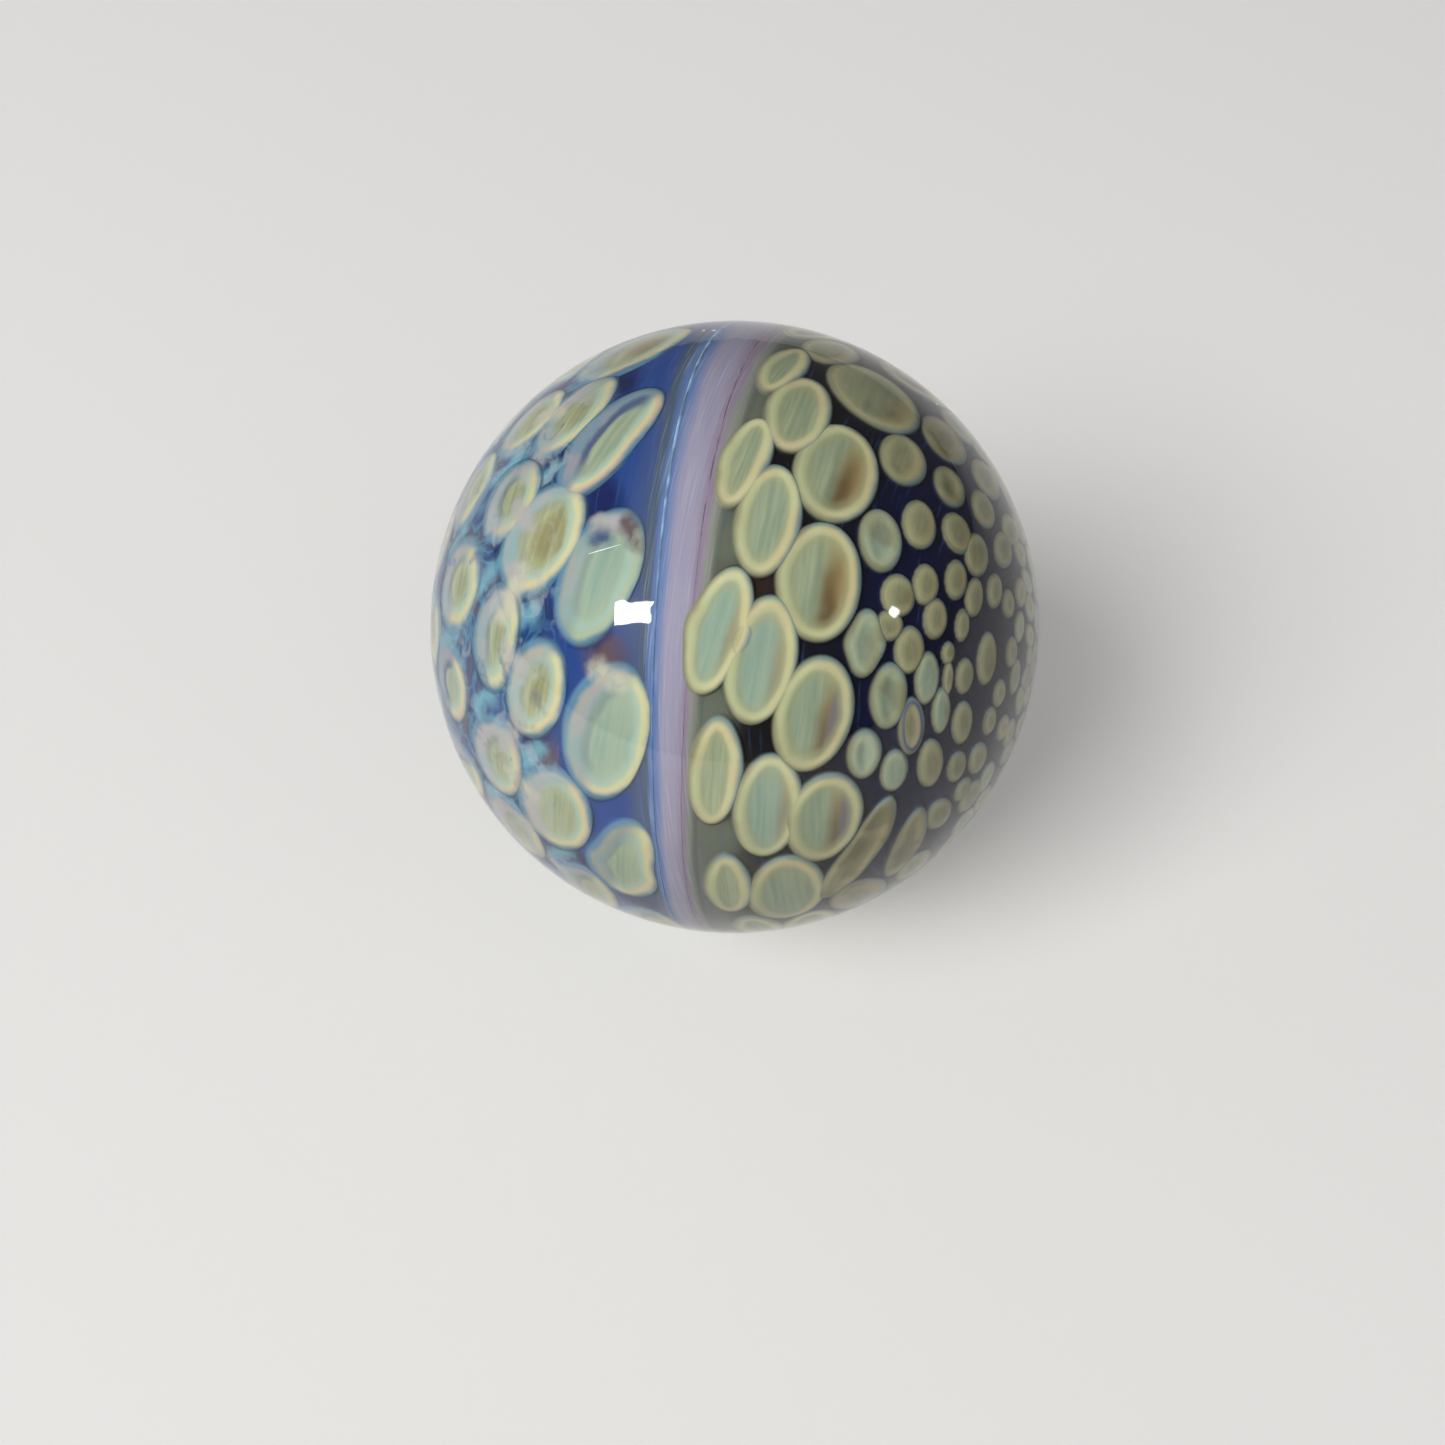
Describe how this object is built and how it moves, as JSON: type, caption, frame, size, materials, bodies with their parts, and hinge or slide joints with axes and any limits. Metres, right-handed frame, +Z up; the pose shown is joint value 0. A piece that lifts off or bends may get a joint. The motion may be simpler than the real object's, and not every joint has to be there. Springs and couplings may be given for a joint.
{
  "type": "glass marble",
  "caption": "Solid round ball of clear glass over cobalt glass, ringed by a lilac stripe between fields of honeycomb dots that shrink towards one side.",
  "frame": {"origin": "centre of the ball", "axes": "+X along the ball's short axis, towards the side whose dots shrink to specks; the pattern's own axis leans about 9 degrees up from it in the XZ plane; +Z up, as the ball lies in the view; +Y away from the side that the view shows"},
  "size_m": [0.0378, 0.038, 0.038],
  "materials": {
    "clear_glass": "fire-polished clear skin over coloured glass",
    "cobalt_ground": "dense cobalt glass, bright on one side and near black on the other, seen under the clear skin",
    "lilac_stripe": "opaque lilac cane with blue and grey edges, drawn out lengthwise, seen under the clear skin",
    "dot_glass": "stacked dots with cream rims, teal to olive middles and brown streaks, seen under the clear skin"
  },
  "bodies": {
    "root": {"marble": "clear_glass"}
  },
  "joints": []
}
